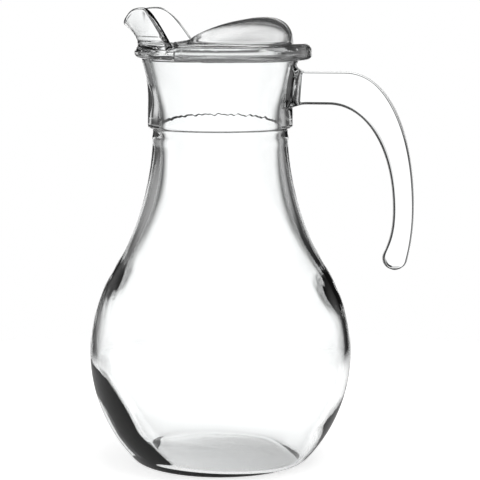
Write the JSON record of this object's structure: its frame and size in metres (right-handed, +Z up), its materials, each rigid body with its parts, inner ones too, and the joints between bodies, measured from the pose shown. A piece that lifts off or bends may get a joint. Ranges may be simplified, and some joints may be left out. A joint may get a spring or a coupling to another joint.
{
  "type": "glass pitcher",
  "caption": "Pear-shaped clear glass pitcher with a rolled rim, raised pouring lip, fused handle that hangs free below, and a translucent push-on lid that lifts off.",
  "frame": {"origin": "centre of the foot ring, on the pitcher's axis, in the plane that it stands on", "axes": "+Z up along the pitcher's axis, +X towards the handle, -X towards the pouring lip"},
  "size_m": [0.1805, 0.146, 0.253],
  "materials": {
    "blown_glass": "polished, clear",
    "pressed_glass": "fire polished, clear",
    "lid_plastic": "translucent, satin"
  },
  "bodies": {
    "pitcher": {"pitcher_body": "blown_glass", "handle": "pressed_glass"},
    "lid": {"lid": "lid_plastic"}
  },
  "joints": [
    {"name": "lid_lift", "type": "slide", "parent": "pitcher", "child": "lid", "axis": [0, 0, 1], "range_m": [0, 0.08]}
  ]
}
